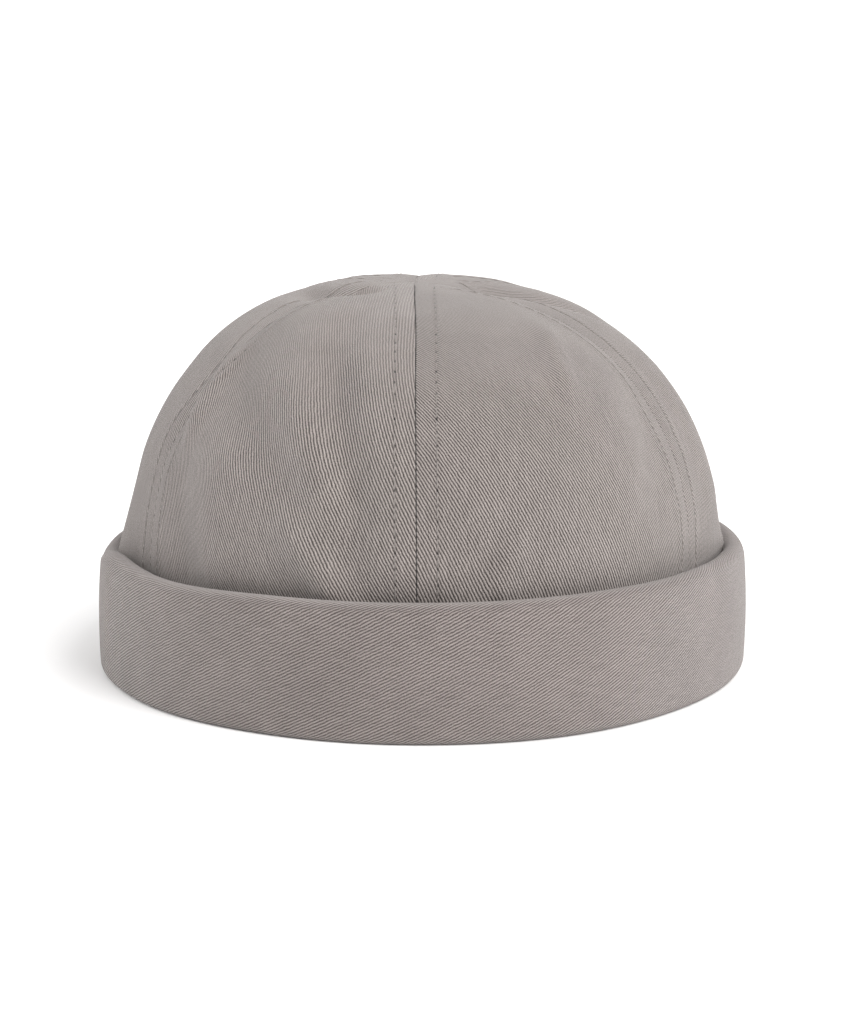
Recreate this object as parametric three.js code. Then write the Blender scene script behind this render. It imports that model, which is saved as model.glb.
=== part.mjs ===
import * as THREE from 'three';

// A watch cap in woven cotton twill: six crown panels that are sewn together from the hem to the
// top, and a double layer band that is turned up around them as a cuff.
// Millimetres, +Z up. The front faces -Y, and the cuff's bottom fold stands on z = 0.

// Crown
const halfWidth = 86; // from the middle to the outside of the hem, at the side
const halfDepth = 101.5; // and at the front
const crownRise = 92.2; // from the hem to the crest of the top
const cloth = 1.2; // one layer of the crown's twill
const seamAllowance = 6.5; // turned back along each seam and stitched down
const panelPuff = 2.4; // how far the middle of a panel stands out past its seams
const puffSquareness = 2.4; // above 2 the puff is flat in the middle and steep at the seams
const foldRise = 3; // depth of the deepest soft fold
const foldWidth = 12; // half width of the widest soft fold

// Cuff
const hemHeight = 12; // where the crown is sewn to the band's inner leg
const cuffHeight = 36.5; // the leg that is turned up outside, at the front
const bandWall = 2.5; // the band's two layers
const channelGap = 0.9; // between the crown and the turned up leg, at the bottom
const foldRadius = 1.2; // outside of the bottom fold
const rimRoll = 4.4; // across the soft roll along the top edge
const rimTurn = 225; // degrees that the roll turns through, to its underside
const cuffBelly = 0.5; // how far the turned up leg swells at mid height
const cuffSway = 1.3; // how far it strays in and out around the cap

const pieceGap = 0.3; // between pieces that are sewn together
const stepWidth = 0.8; // over which the wall thins past a seam allowance

// Where a panel narrows to its tip, its allowances and their steps take at most these shares of it.
const widestAllowance = 0.3;
const widestStep = 0.04;

// Fineness
const innerColumns = 8; // points across a panel, between its seam allowances
const crestSections = 3; // sections at the top that take one row each, where the others take two
const cuffSteps = 84; // around the cap
const rimSteps = 5; // over the cuff's rolled top edge

// Crown sections from the hem to the middle of the top. The height is a share of crownRise, each
// reach a share of halfWidth or halfDepth, and the puff a share of panelPuff.
const crownSections = [
  { height: 0, left: 1, right: 1, front: 1, back: 1, puff: 0 },
  { height: 0.14, left: 0.978, right: 0.965, front: 0.975, back: 0.98, puff: 0.35 },
  { height: 0.28, left: 0.943, right: 0.937, front: 0.955, back: 0.96, puff: 0.5 },
  { height: 0.42, left: 0.901, right: 0.912, front: 0.922, back: 0.925, puff: 0.6 },
  { height: 0.56, left: 0.851, right: 0.857, front: 0.868, back: 0.87, puff: 0.75 },
  { height: 0.69, left: 0.768, right: 0.768, front: 0.785, back: 0.785, puff: 0.9 },
  { height: 0.8, left: 0.664, right: 0.657, front: 0.675, back: 0.675, puff: 1 },
  { height: 0.88, left: 0.552, right: 0.537, front: 0.555, back: 0.555, puff: 1 },
  { height: 0.94, left: 0.431, right: 0.4, front: 0.42, back: 0.42, puff: 0.85 },
  { height: 0.98, left: 0.32, right: 0.265, front: 0.27, back: 0.27, puff: 0.6 },
  { height: 1, left: 0.21, right: 0.15, front: 0.13, back: 0.13, puff: 0.3 },
  { height: 0.995, left: 0.09, right: 0.08, front: 0.065, back: 0.065, puff: 0.15 },
  { height: 0.985, left: 0.012, right: 0.012, front: 0.012, back: 0.012, puff: 0 },
];

// How far each seam strays from its even place, in degrees, a row for every second section.
const seamStrays = [
  { back: 0, backLeft: 0, left: 0, front: -1, right: 0, backRight: 0 },
  { back: 0, backLeft: -1, left: -3, front: -1, right: 1, backRight: 1 },
  { back: 0, backLeft: -2, left: -7, front: -1.2, right: 4, backRight: 2 },
  { back: 0, backLeft: -2, left: -5, front: -1.7, right: 6, backRight: 2 },
  { back: 0, backLeft: -2, left: -9, front: -2.5, right: 4, backRight: 1 },
  { back: 0, backLeft: -1, left: -4, front: -4, right: 0, backRight: 0 },
  { back: 0, backLeft: 0, left: 0, front: -4, right: 0, backRight: 0 },
];

// Soft folds of the slack crown. Each runs from one angle and height to another. The angle is in
// degrees from the front, towards +X, the height a share of crownRise, the width a share of
// foldWidth, and the rise a share of foldRise, below zero for a valley.
const crownFolds = [
  { fromAngle: -24, fromHeight: 0.86, toAngle: -12.5, toHeight: 0.6, width: 0.8, rise: -0.45 },
  { fromAngle: -12.5, fromHeight: 0.6, toAngle: -12.5, toHeight: 0.38, width: 0.8, rise: -0.45 },
  { fromAngle: -48, fromHeight: 0.75, toAngle: -31, toHeight: 0.64, width: 0.8, rise: -0.4 },
  { fromAngle: -31, fromHeight: 0.64, toAngle: -22, toHeight: 0.5, width: 0.8, rise: -0.5 },
  { fromAngle: -56, fromHeight: 0.56, toAngle: -47, toHeight: 0.34, width: 0.9, rise: -0.6 },
  { fromAngle: -27, fromHeight: 0.45, toAngle: -17, toHeight: 0.3, width: 0.7, rise: 0.4 },
  { fromAngle: -62, fromHeight: 0.36, toAngle: -54, toHeight: 0.26, width: 0.7, rise: 0.4 },
  { fromAngle: 13, fromHeight: 0.38, toAngle: 9, toHeight: 0.27, width: 0.7, rise: 0.4 },
  { fromAngle: -50, fromHeight: 0.22, toAngle: -22, toHeight: 0.23, width: 0.8, rise: -0.55 },
  { fromAngle: 18, fromHeight: 0.21, toAngle: 60, toHeight: 0.2, width: 0.8, rise: -0.4 },
  { fromAngle: 100, fromHeight: 0.7, toAngle: 112, toHeight: 0.35, width: 1, rise: -0.4 },
  { fromAngle: -105, fromHeight: 0.75, toAngle: -98, toHeight: 0.45, width: 1, rise: -0.5 },
  { fromAngle: 150, fromHeight: 0.72, toAngle: 160, toHeight: 0.3, width: 1, rise: -0.5 },
  { fromAngle: -165, fromHeight: 0.6, toAngle: -145, toHeight: 0.25, width: 1, rise: -0.5 },
];

// The turned up leg around the cap. The angle is in degrees from the front, towards +X, and the
// height a share of cuffHeight. The swell moves the leg outwards and the lean its top edge, both
// as shares of cuffSway.
const cuffSections = [
  { angle: -180, height: 0.85, swell: 0.3, lean: 0 },
  { angle: -112, height: 0.84, swell: 0, lean: 0 },
  { angle: -90, height: 0.84, swell: 0, lean: -0.3 },
  { angle: -68, height: 0.97, swell: 0.7, lean: -0.4 },
  { angle: -50, height: 0.95, swell: 1, lean: -0.6 },
  { angle: -25, height: 0.99, swell: 0.3, lean: -0.1 },
  { angle: 0, height: 1, swell: 0.3, lean: -0.1 },
  { angle: 22, height: 1, swell: 0.6, lean: -0.3 },
  { angle: 52, height: 0.985, swell: -0.2, lean: 0.2 },
  { angle: 70, height: 0.97, swell: 0, lean: 0 },
  { angle: 90, height: 0.9, swell: 0, lean: -0.2 },
  { angle: 112, height: 0.89, swell: 0, lean: 0 },
  { angle: 180, height: 0.85, swell: 0.3, lean: 0 },
];

const panels = [
  { name: 'panel_front_left', from: 'left', to: 'front', start: -60 },
  { name: 'panel_front_right', from: 'front', to: 'right', start: 0 },
  { name: 'panel_right', from: 'right', to: 'backRight', start: 60 },
  { name: 'panel_back_right', from: 'backRight', to: 'back', start: 120 },
  { name: 'panel_back_left', from: 'back', to: 'backLeft', start: -180 },
  { name: 'panel_left', from: 'backLeft', to: 'left', start: -120 },
];
const panelAngle = 360 / panels.length;

// A smooth curve through one column of a table, at a place counted in rows.
function along(rows, column, place) {
  const first = Math.min(Math.floor(place), rows.length - 2);
  const value = (step) => rows[THREE.MathUtils.clamp(first + step, 0, rows.length - 1)][column];
  const [before, start, end, after] = [value(-1), value(0), value(1), value(2)];
  const t = place - first;
  const linear = (end - before) / 2;
  const square = before - 2.5 * start + 2 * end - after / 2;
  const cube = (after - before) / 2 + (start - end) * 1.5;
  return start + t * (linear + t * (square + t * cube));
}

// The base of the crown, without puff or folds, at an angle in degrees and a place in sections.
function basePoint(angle, place) {
  const turn = THREE.MathUtils.degToRad(angle);
  const [side, ahead] = [Math.sin(turn), -Math.cos(turn)];
  const sideReach = along(crownSections, side < 0 ? 'left' : 'right', place);
  const aheadReach = along(crownSections, ahead < 0 ? 'front' : 'back', place);
  const reach = sideReach * side ** 2 + aheadReach * ahead ** 2;
  const height = hemHeight + crownRise * along(crownSections, 'height', place);
  return new THREE.Vector3(halfWidth * reach * side, halfDepth * reach * ahead, height);
}

// The way out of the crown, within the upright plane through its middle.
function outward(angle, place) {
  const step = 0.01;
  const last = crownSections.length - 1;
  const below = basePoint(angle, Math.max(place - step, 0));
  const above = basePoint(angle, Math.min(place + step, last));
  const turn = THREE.MathUtils.degToRad(angle);
  const away = new THREE.Vector3(halfWidth * Math.sin(turn), -halfDepth * Math.cos(turn), 0).normalize();
  const rise = above.z - below.z;
  const reachLost = Math.hypot(below.x, below.y) - Math.hypot(above.x, above.y);
  const shrink = reachLost * THREE.MathUtils.smoothstep(place, 0, 1); // level at the hem
  return away.multiplyScalar(rise).add(new THREE.Vector3(0, 0, shrink)).normalize();
}

// The section place at a height share, on the way up to the crest.
function placeOfHeight(share) {
  const above = crownSections.findIndex((row) => row.height >= share);
  const [low, high] = [crownSections[above - 1].height, crownSections[above].height];
  return above - 1 + (share - low) / (high - low);
}

const foldLines = crownFolds.map((fold) => ({
  line: new THREE.Line3(
    basePoint(fold.fromAngle, placeOfHeight(fold.fromHeight)),
    basePoint(fold.toAngle, placeOfHeight(fold.toHeight)),
  ),
  width: fold.width * foldWidth,
  rise: fold.rise * foldRise,
}));

function foldsAt(point) {
  const nearest = new THREE.Vector3();
  return foldLines.reduce((sum, { line, width, rise }) => {
    line.closestPointToPoint(point, true, nearest);
    return sum + rise * Math.exp(-((nearest.distanceTo(point) / width) ** 2));
  }, 0);
}

// A point of a panel: across runs from 0 at one seam to 1 at the next, and the depth is how far
// the point lies inside the outer face.
function panelPoint(panel, across, place, depth) {
  const stray = (seam) => along(seamStrays, seam, place / 2);
  const from = panel.start + stray(panel.from);
  const to = panel.start + panelAngle + stray(panel.to);
  const middle = basePoint((from + to) / 2, place);
  const gapAngle = THREE.MathUtils.radToDeg(pieceGap / 2 / Math.hypot(middle.x, middle.y));
  const angle = THREE.MathUtils.lerp(from + gapAngle, to - gapAngle, across);
  const point = basePoint(angle, place);
  const swell = 1 - Math.abs(2 * across - 1) ** puffSquareness;
  const puff = panelPuff * swell * along(crownSections, 'puff', place);
  return point.addScaledVector(outward(angle, place), puff + foldsAt(point) - depth);
}

function panelWidth(panel, place) {
  return panelPoint(panel, 0, place, 0).distanceTo(panelPoint(panel, 0.5, place, 0)) * 2;
}

// Columns across a panel, with the wall doubled where the seam allowance lies inside it.
function panelColumns(panel, place) {
  const width = panelWidth(panel, place);
  const doubled = Math.min(seamAllowance / width, widestAllowance);
  const single = doubled + Math.min(stepWidth / width, widestStep);
  const inner = Array.from({ length: innerColumns }, (_, column) =>
    THREE.MathUtils.lerp(single, 1 - single, column / (innerColumns - 1)),
  );
  return [
    ...[0, doubled].map((across) => ({ across, depth: 2 * cloth })),
    ...inner.map((across) => ({ across, depth: cloth })),
    ...[1 - doubled, 1].map((across) => ({ across, depth: 2 * cloth })),
  ];
}

// A closed solid between an outer and an inner grid of points, each a list of equal rows.
function shellGeometry(outer, inner) {
  const [rows, columns] = [outer.length, outer[0].length];
  const positions = [...outer.flat(), ...inner.flat()].flatMap((point) => point.toArray());
  const at = (side, row, column) => (side * rows + row) * columns + column;
  const faces = [];
  const addQuad = (a, b, c, d) => faces.push(a, b, c, a, c, d);
  for (let row = 0; row < rows - 1; row += 1) {
    for (let column = 0; column < columns - 1; column += 1) {
      const [next, above] = [column + 1, row + 1];
      addQuad(at(0, row, column), at(0, row, next), at(0, above, next), at(0, above, column));
      addQuad(at(1, row, column), at(1, above, column), at(1, above, next), at(1, row, next));
    }
    const end = columns - 1;
    addQuad(at(0, row, 0), at(0, row + 1, 0), at(1, row + 1, 0), at(1, row, 0));
    addQuad(at(0, row, end), at(1, row, end), at(1, row + 1, end), at(0, row + 1, end));
  }
  for (let column = 0; column < columns - 1; column += 1) {
    const [next, top] = [column + 1, rows - 1];
    addQuad(at(0, 0, column), at(1, 0, column), at(1, 0, next), at(0, 0, next));
    addQuad(at(0, top, column), at(0, top, next), at(1, top, next), at(1, top, column));
  }
  return indexedGeometry(positions, faces);
}

// A closed ring swept through sections, each a closed loop of the same number of points.
function ringGeometry(sections) {
  const [count, size] = [sections.length, sections[0].length];
  const positions = sections.flat().flatMap((point) => point.toArray());
  const at = (section, point) => (section % count) * size + (point % size);
  const faces = [];
  for (let section = 0; section < count; section += 1) {
    for (let point = 0; point < size; point += 1) {
      const [a, b] = [at(section, point), at(section + 1, point)];
      const [c, d] = [at(section + 1, point + 1), at(section, point + 1)];
      faces.push(a, b, c, a, c, d);
    }
  }
  return indexedGeometry(positions, faces);
}

function indexedGeometry(positions, faces) {
  const geometry = new THREE.BufferGeometry();
  geometry.setAttribute('position', new THREE.Float32BufferAttribute(positions, 3));
  geometry.setIndex(faces);
  geometry.computeVertexNormals();
  return geometry;
}

function panelGeometry(panel) {
  const crest = crownSections.length - crestSections;
  const sideRows = Array.from({ length: 2 * crest - 1 }, (_, row) => row / 2);
  const crestRows = Array.from({ length: crestSections }, (_, row) => crest + row);
  const outer = [];
  const inner = [];
  for (const place of [...sideRows, ...crestRows]) {
    const columns = panelColumns(panel, place);
    outer.push(columns.map(({ across }) => panelPoint(panel, across, place, 0)));
    inner.push(columns.map(({ across, depth }) => panelPoint(panel, across, place, depth)));
  }
  return shellGeometry(outer, inner);
}

// The turned up leg's height, swell and lean at an angle, eased between the rows of its table.
function cuffAt(angle) {
  const next = Math.max(cuffSections.findIndex((row) => row.angle >= angle), 1);
  const [start, end] = [cuffSections[next - 1], cuffSections[next]];
  const share = THREE.MathUtils.smoothstep(angle, start.angle, end.angle);
  const eased = (column) => THREE.MathUtils.lerp(start[column], end[column], share);
  return {
    height: cuffHeight * eased('height'),
    swell: cuffSway * eased('swell'),
    lean: cuffSway * eased('lean'),
  };
}

// The band's section: [offset outwards from the crown's hem, height], around its closed outline.
// It runs down the inner leg, under the bottom fold, up the turned up leg, over its rolled top
// edge and back down into the channel behind it.
function cuffOutline(angle) {
  const { height, swell, lean } = cuffAt(angle);
  const inside = channelGap + swell;
  const outside = inside + bandWall;
  const legTop = hemHeight - pieceGap;
  const corner = foldRadius * (1 - Math.SQRT1_2);
  const channelFloor = bandWall;
  const waist = (cuffBelly + lean) / 2;
  const rolled = rimRoll / 2;
  const rim = Array.from({ length: rimSteps + 1 }, (_, step) => {
    const turn = THREE.MathUtils.degToRad((rimTurn * step) / rimSteps);
    return [outside + lean - rolled * (1 - Math.cos(turn)), height - rolled * (1 - Math.sin(turn))];
  });
  return [
    [-bandWall, legTop],
    [-bandWall, foldRadius],
    [-bandWall + corner, corner],
    [-bandWall + foldRadius, 0],
    [outside - foldRadius, 0],
    [outside - corner, corner],
    [outside, foldRadius],
    [outside + cuffBelly, height / 3],
    [outside + waist, (height * 2) / 3],
    ...rim,
    [inside + waist, height / 2],
    [inside, channelFloor + inside / 2],
    [inside / 2, channelFloor],
    [0, channelFloor + inside / 2],
    [0, legTop],
  ];
}

function cuffGeometry() {
  const sections = Array.from({ length: cuffSteps }, (_, step) => {
    const angle = -180 + (360 * step) / cuffSteps;
    const turn = THREE.MathUtils.degToRad(angle);
    return cuffOutline(angle).map(
      ([offset, height]) =>
        new THREE.Vector3(
          (halfWidth + offset) * Math.sin(turn),
          -(halfDepth + offset) * Math.cos(turn),
          height,
        ),
    );
  });
  return ringGeometry(sections);
}

const crownTwill = new THREE.MeshStandardMaterial({ color: '#9d948f', roughness: 0.95, metalness: 0 });
const cuffTwill = new THREE.MeshStandardMaterial({ color: '#968c88', roughness: 0.95, metalness: 0 });

const group = new THREE.Group();
for (const panel of panels) {
  const mesh = new THREE.Mesh(panelGeometry(panel), crownTwill);
  mesh.name = panel.name;
  group.add(mesh);
}
const cuff = new THREE.Mesh(cuffGeometry(), cuffTwill);
cuff.name = 'turned_up_cuff';
group.add(cuff);

export default group;
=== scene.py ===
import math

import bpy
import numpy as np
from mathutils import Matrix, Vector, noise


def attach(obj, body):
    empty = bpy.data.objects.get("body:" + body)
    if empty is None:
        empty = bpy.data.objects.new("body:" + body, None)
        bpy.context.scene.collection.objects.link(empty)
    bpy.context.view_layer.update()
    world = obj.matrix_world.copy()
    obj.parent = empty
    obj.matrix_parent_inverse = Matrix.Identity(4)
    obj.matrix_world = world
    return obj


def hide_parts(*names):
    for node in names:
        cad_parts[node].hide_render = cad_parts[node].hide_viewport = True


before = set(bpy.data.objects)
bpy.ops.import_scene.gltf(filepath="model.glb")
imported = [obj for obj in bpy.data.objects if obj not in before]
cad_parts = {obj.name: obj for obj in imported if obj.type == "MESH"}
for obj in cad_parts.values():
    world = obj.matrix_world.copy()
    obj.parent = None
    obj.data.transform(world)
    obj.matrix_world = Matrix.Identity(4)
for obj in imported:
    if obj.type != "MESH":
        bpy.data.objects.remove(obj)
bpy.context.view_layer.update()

# A watch cap in woven cotton twill: six crown panels and a double band turned up around them.
# Metres, +Z up. The front faces -Y. Angles are degrees from the front and grow to the right.
# Tables hold shares of the named sizes, as the solids do.
MM = 0.001

# Crown
HALF_WIDTH = 86 * MM
HALF_DEPTH = 101.5 * MM
CROWN_RISE = 92.2 * MM
HEM_HEIGHT = 12 * MM
CLOTH = 1.2 * MM
PANEL_PUFF = 2.4 * MM
PUFF_SQUARENESS = 2.4
FOLD_RISE = 5.5 * MM
FOLD_WIDTH = 12 * MM
FOLD_FADE = 0.3  # share of its path over which a fold rises at each end
PANEL_ANGLE = 60  # degrees, six panels around
TIP_SHIFT = -2 * MM  # how far to the left the panels meet
TIP_SHIFT_FROM = 7  # the section where that starts

# Seams
SEAM_GAP = 0.06 * MM  # between two panels' folded edges
LIP_WIDTH = 0.4 * MM  # over which a folded edge rolls in
LIP_DEPTH = 0.36 * MM
SEAM_ALLOWANCE = 6.5 * MM  # turned back and stitched down
ALLOWANCE_EDGE = 0.5 * MM  # the step inside, at its cut edge
ALLOWANCE_PRINT = 0.22 * MM  # how far it lifts the outer face
ALLOWANCE_FADE = 1.8 * MM  # over which that ends
STITCH_OFFSET = 5.4 * MM  # from the seam to each row of topstitching
STITCH_PITCH = 4.0 * MM
STITCH_LENGTH = 0.88 * STITCH_PITCH
STITCH_CROWN = 0.22 * MM  # how high a stitch stands
STITCH_ENDS = 0.28 * MM  # how deep its ends go in
STITCH_SINK = 0.16 * MM  # of the cloth along a row
STITCH_HOLES = 0.45  # the share of it that comes and goes with the stitches
STITCH_SINK_WIDTH = 0.6 * MM
THREAD = 0.28 * MM
THREAD_SIDES = 6
STITCH_BENDS = 7
STITCH_SHOULDER = 0.85  # of its half length, where a stitch is drawn up
STITCH_SIZES = (0.93, 1.03)
STITCH_SEED = 7
PUCKER_RISE = 0.16 * MM
PUCKER_LENGTH = 5.5 * MM
PUCKER_REACH = 0.8 * STITCH_OFFSET
# Painted shade along the groove of each seam
GROOVE_WIDTH = 0.28 * MM
GROOVE_CORE = 0.04 * MM  # where it is darkest
GROOVE_SHADE = 0.28
GROOVE_WAVER = 0.24 * MM
# Painted shade in the needle holes, stronger in some places than in others
HOLE_CORE = 0.1 * MM  # the needle holes between the stitches
HOLE_REACH = 0.42 * MM
HOLE_SHAPE = 0.4  # a hole's width against its length
HOLE_SHADE = 0.85
HOLE_SHADE_RANGE = (0.3, 1.0)  # how much of it shows, from place to place
SHARP_SEAMS = ("front", "back")
SOFT_SEAM = 0.15  # how sharp the others are, against 1 for these
SMOOTH_TIP = 16 * MM  # a panel narrower than this near the top has flatter seams

# Soft cloth
TUCK_DEPTH = 2.2 * MM  # where the crown goes down behind the cuff
TUCK_HEIGHT = 29 * MM
TUCK_WIDTH = 8.5 * MM
WRINKLE_RISE = 0.4 * MM
WRINKLE_SIZE = 24 * MM
CRUMPLE_RISE = 0.14 * MM
CRUMPLE_SIZE = 10 * MM
HEM_STRETCH = 0.1  # how much the panels' cloth is drawn out sideways at the hem
HEM_STRETCH_REACH = 90 * MM  # up the panel, where that ends
TOP_EASE = 0.08  # how much it is eased in sideways towards the top
TOP_EASE_FROM = 40 * MM
TOP_EASE_TO = 95 * MM
WIDTH_CHANGE = 0.1  # the most that a row's width changes where the widths are evened out

# Cuff
CUFF_HEIGHT = 36.5 * MM
BAND_WALL = 2.5 * MM
CHANNEL_GAP = 0.9 * MM
FOLD_RADIUS = 2.1 * MM
RIM_ROLL = 4.4 * MM
RIM_TURN = math.radians(225)
SIDE_ROLL = 0.5  # how much thicker it is at both sides
SIDE_ROLL_ANGLE = 95  # degrees from the front
SIDE_ROLL_WIDTH = 35
CUFF_BELLY = 0.5 * MM
CUFF_SWAY = 1.3 * MM
PIECE_GAP = 0.3 * MM
RIM_WAVE = 0.25 * MM
DENT_RISE = 0.35 * MM
DENT_SIZE = 30 * MM
SMALL_DENT_RISE = 0.3 * DENT_RISE
SMALL_DENT_SIZE = 0.35 * DENT_SIZE
RIM_WAVE_SIZE = 0.8 * DENT_SIZE
CUFF_STRETCH = 0.965  # the band's cloth lengthwise, against its size when flat
CUFF_NARROWING = 0.875  # and across

# Twill
END_PITCH = 0.2145 * MM  # between warp yarns
PICK_PITCH = 0.43 * MM  # between weft yarns
TWILL_REPEAT = 4  # three over, one under
TWILL_RELIEF = 0.28 * MM
FLOAT_SHARE = 0.78  # of a repeat, where a warp yarn lies on top
WALE_DRIFT = 2.4  # range in picks of a wale's straying, over a centimetre or two
WALE_WAVER = 2.2  # and over a millimetre or two
WALE_RELIEF = 0.65  # the wales' share of the relief, where the rest is the single yarns'
WALE_SHADE = 0.72  # and of the light and dark
FLECK = 0.9  # range of the light and dark in flecks smaller than a wale
STREAK = 0.6  # and from yarn to yarn
TONES = (0.95, 1.04)  # the darkest and lightest that the cloth gets over a few centimetres
# Painted light: the weave's light and dark is weaker where the cloth faces up and the light falls head
# on.
FACING_UP = (0.66, 0.97)  # upward part of the cloth's normal, over which the contrast falls
TOP_CONTRAST = 0.4  # to this share of the contrast at the sides
# The valley colours are the weft's, darkened further with painted shade in the weave's hollows.
CROWN_VALLEY = (0.05, 0.042, 0.0385, 1)
CROWN_RIDGE = (0.405, 0.36, 0.34, 1)
CUFF_VALLEY = (0.08, 0.067, 0.062, 1)
CUFF_RIDGE = (0.365, 0.32, 0.306, 1)
THREAD_DARK = (0.14, 0.122, 0.115, 1)
THREAD_LIGHT = (0.29, 0.262, 0.245, 1)

# Fineness
ROW_STEP = 0.85 * MM
INNER_COLUMNS = 52
EDGE_SHARE = 0.4  # the most of a row's width that the columns beside one seam take
SHARP_ANGLE = 55  # degrees
ACROSS_SAMPLES = 161
LENGTH_SAMPLES = 600
LIP_COLUMNS = 6
FLAT_COLUMNS = 6
SUNK_COLUMNS = 12
ALLOWANCE_COLUMNS = (7, 7.6, 8.3, 9.2, 10.4)  # mm from the seam, past the allowance's edge
CUFF_STEPS = 620
FOLD_STEPS = 5  # of a fold's line, between two points of its path
OUTER_LEG_POINTS = 34
UNDER_LEG_POINTS = 16
INNER_LEG_POINTS = 8
SHORT_LEG_POINTS = 5
BEND_POINTS = 9
ROLL_POINTS = 22

# Sections of the crown from the hem up. Height is a share of CROWN_RISE, left and right are shares
# of HALF_WIDTH, front and back are shares of HALF_DEPTH, and puff is one of PANEL_PUFF.
CROWN_SECTIONS = [
    {"height": 0, "left": 1, "right": 1, "front": 1, "back": 1, "puff": 0},
    {"height": 0.14, "left": 0.978, "right": 0.98, "front": 0.975, "back": 0.98, "puff": 0.35},
    {"height": 0.28, "left": 0.943, "right": 0.942, "front": 0.955, "back": 0.96, "puff": 0.5},
    {"height": 0.42, "left": 0.901, "right": 0.912, "front": 0.922, "back": 0.925, "puff": 0.6},
    {"height": 0.56, "left": 0.851, "right": 0.857, "front": 0.868, "back": 0.87, "puff": 0.75},
    {"height": 0.69, "left": 0.768, "right": 0.768, "front": 0.785, "back": 0.785, "puff": 0.9},
    {"height": 0.8, "left": 0.664, "right": 0.657, "front": 0.675, "back": 0.675, "puff": 1},
    {"height": 0.88, "left": 0.552, "right": 0.537, "front": 0.555, "back": 0.555, "puff": 1},
    {"height": 0.94, "left": 0.431, "right": 0.4, "front": 0.42, "back": 0.42, "puff": 0.85},
    {"height": 0.98, "left": 0.32, "right": 0.265, "front": 0.27, "back": 0.27, "puff": 0.4},
    {"height": 1, "left": 0.21, "right": 0.15, "front": 0.13, "back": 0.13, "puff": 0.1},
    {"height": 1.003, "left": 0.09, "right": 0.08, "front": 0.065, "back": 0.065, "puff": 0},
    {"height": 1.003, "left": 0.001, "right": 0.001, "front": 0.001, "back": 0.001, "puff": 0},
]

# Degrees by which each seam strays from its even place, at every second section.
SEAM_STRAYS = [
    {"back": 0, "back_left": 0, "left": 0, "front": -1, "right": 0, "back_right": 0},
    {"back": 0, "back_left": -1, "left": -3, "front": -1, "right": 1, "back_right": 1},
    {"back": 0, "back_left": -2, "left": -7, "front": -1.2, "right": 4, "back_right": 2},
    {"back": 0, "back_left": -2, "left": -5, "front": -1.7, "right": 6, "back_right": 2},
    {"back": 0, "back_left": -2, "left": -9, "front": -2.5, "right": 4, "back_right": 1},
    {"back": 0, "back_left": -1, "left": -4, "front": -4, "right": 0, "back_right": 0},
    {"back": 0, "back_left": 0, "left": 0, "front": -4, "right": 0, "back_right": 0},
]

# Each fold runs along a path of angles and height shares, and a rise below zero makes a valley.
# Width and rise are shares of FOLD_WIDTH and FOLD_RISE.
CROWN_FOLDS = [
    # front left
    {
        "path": [(-30, 0.96), (-26, 0.86), (-19, 0.72), (-15, 0.59), (-13, 0.47), (-14.5, 0.18)],
        "width": 0.55,
        "rise": -0.72,
    },
    {
        "path": [(-58, 0.84), (-49, 0.73), (-37, 0.65), (-29, 0.55), (-20, 0.4)],
        "width": 0.6,
        "rise": -0.52,
    },
    {"path": [(-37, 0.84), (-25.5, 0.66), (-20.5, 0.56), (-15, 0.4)], "width": 0.5, "rise": 0.3},
    {"path": [(-29, 0.5), (-22, 0.37), (-18, 0.31), (-12, 0.18)], "width": 0.42, "rise": 0.6},
    {"path": [(-60, 0.66), (-54, 0.42), (-46, 0.18)], "width": 0.6, "rise": -0.28},
    {"path": [(-47, 0.62), (-42, 0.42), (-39, 0.2)], "width": 0.6, "rise": 0.2},
    {"path": [(-65, 0.86), (-61.5, 0.76), (-60.5, 0.7), (-58.5, 0.56)], "width": 0.33, "rise": 0.42},
    {"path": [(-70, 0.86), (-67, 0.74), (-66, 0.66), (-65, 0.5)], "width": 0.4, "rise": -0.15},
    # front right
    {"path": [(16.5, 0.46), (11, 0.34), (7, 0.22)], "width": 0.3, "rise": -0.15},
    {"path": [(18, 0.42), (12.5, 0.24)], "width": 0.35, "rise": 0.25},
    {"path": [(46, 0.92), (35, 0.72)], "width": 0.35, "rise": 0.25},
    {"path": [(62, 0.76), (54, 0.55), (49, 0.36)], "width": 0.7, "rise": -0.25},
    # right
    {"path": [(82, 0.84), (79, 0.64), (77, 0.46), (74, 0.3)], "width": 0.6, "rise": 0.3},
    {"path": [(62, 1), (78, 0.985), (86, 0.955), (91, 0.91), (96, 0.85)], "width": 0.5, "rise": -0.6},
    {"path": [(108, 0.8), (118, 0.45)], "width": 0.9, "rise": -0.35},
    # left
    {"path": [(-100, 0.95), (-80, 0.972), (-60, 0.99), (-40, 1)], "width": 0.4, "rise": -0.5},
    {"path": [(-105, 0.75), (-98, 0.45)], "width": 0.9, "rise": -0.4},
    # back
    {"path": [(150, 0.72), (156, 0.5), (160, 0.3)], "width": 0.8, "rise": -0.4},
    {"path": [(172, 0.62), (170, 0.4)], "width": 0.5, "rise": 0.2},
    {"path": [(-165, 0.6), (-158, 0.45), (-145, 0.25)], "width": 0.8, "rise": -0.4},
    {"path": [(-135, 0.8), (-140, 0.6)], "width": 0.5, "rise": -0.25},
]

# How deep the crown tucks in just above the cuff, as a share of TUCK_DEPTH. Below zero it comes out.
TUCK_ROWS = [
    {"angle": -180, "depth": 0.6},
    {"angle": -150, "depth": 1},
    {"angle": -90, "depth": -0.2},
    {"angle": -62, "depth": 0.5},
    {"angle": -42, "depth": 1.1},
    {"angle": -24, "depth": 1.2},
    {"angle": -14, "depth": 0.2},
    {"angle": -6, "depth": 1.1},
    {"angle": 3, "depth": 1},
    {"angle": 10, "depth": 0.2},
    {"angle": 22, "depth": 1.1},
    {"angle": 50, "depth": 1.1},
    {"angle": 78, "depth": 0.9},
    {"angle": 92, "depth": -0.15},
    {"angle": 140, "depth": 0.9},
    {"angle": 180, "depth": 0.6},
]

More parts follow.
